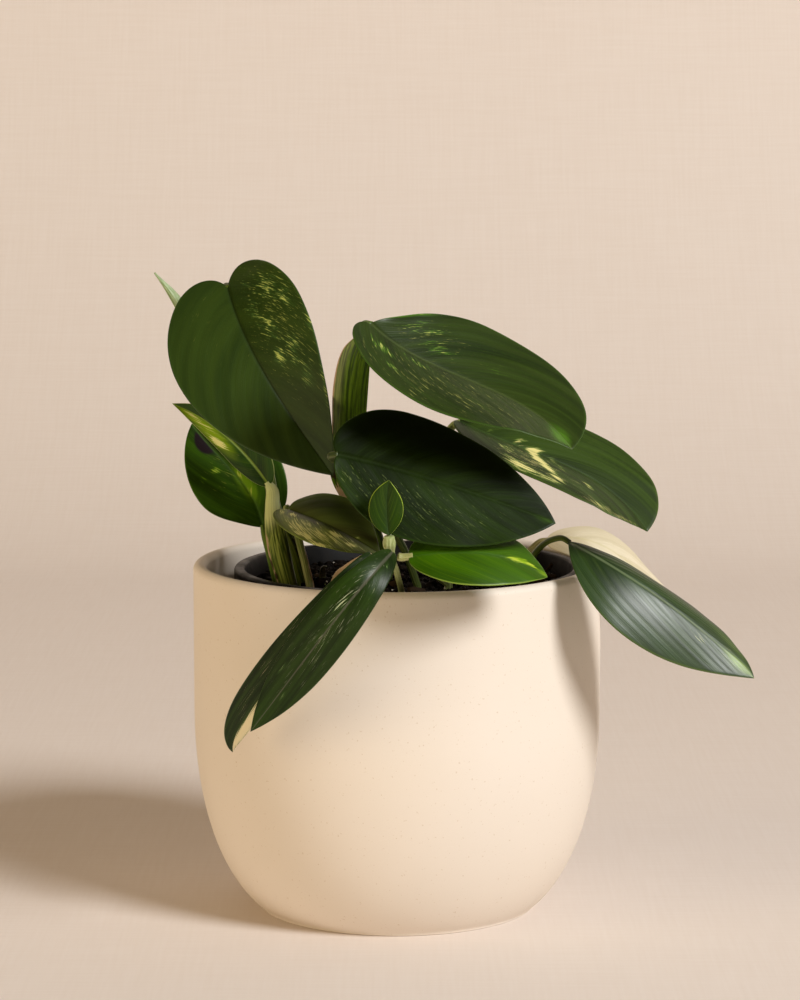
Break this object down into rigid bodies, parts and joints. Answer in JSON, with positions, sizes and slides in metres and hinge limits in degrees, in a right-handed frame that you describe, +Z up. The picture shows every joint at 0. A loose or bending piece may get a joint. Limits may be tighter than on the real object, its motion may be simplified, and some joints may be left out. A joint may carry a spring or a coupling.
{
  "type": "potted monstera standleyana",
  "caption": "Variegated climbing aroid with long pointed leaves on winged stalks, in a black grower's pot inside a plain cream ceramic pot.",
  "frame": {"origin": "centre of the ceramic pot's flat foot, on the surface it stands on", "axes": "+Z up along the ceramic pot's axis, -Y towards the front, where the plant shows most of its leaves, +X to the right seen from the front"},
  "size_m": [0.2006, 0.1748, 0.2244],
  "materials": {
    "cream_ceramic": "matt, unglazed look",
    "grower_plastic": "moulded black, soft sheen",
    "potting_mix": "loose dark peat with pale grains",
    "leaf_green": "waxy dark green leaf with yellow flecks",
    "leaf_light": "waxy young leaf, light green",
    "leaf_cream": "waxy leaf without green",
    "stalk_green": "smooth green stalk",
    "stalk_pale": "pale sheath with dry beige margin"
  },
  "bodies": {
    "root": {"pot": "cream_ceramic", "grower_pot": "grower_plastic", "soil": "potting_mix", "leaf_upper_left": "leaf_green", "leaf_upper_right": "leaf_green", "leaf_middle": "leaf_green", "leaf_right": "leaf_green", "leaf_far_right": "leaf_green", "leaf_white": "leaf_cream", "leaf_front": "leaf_green", "leaf_front_under": "leaf_green", "leaf_young": "leaf_light", "leaf_bright": "leaf_light", "leaf_mottled": "leaf_green", "leaf_left_low": "leaf_green", "leaf_left_curled": "leaf_light", "new_leaf": "leaf_light", "stalk_upper_left": "stalk_green", "stalk_upper_right": "stalk_green", "stalk_middle": "stalk_pale", "stalk_right": "stalk_pale", "stalk_far_right": "stalk_green", "stalk_white": "stalk_pale", "stalk_bright": "stalk_pale", "stalk_front_under": "stalk_pale", "stalk_mottled": "stalk_pale", "stalk_left_low": "stalk_green", "stalk_left_curled": "stalk_pale", "shoot_centre": "stalk_pale", "sprout": "stalk_green"}
  },
  "joints": []
}
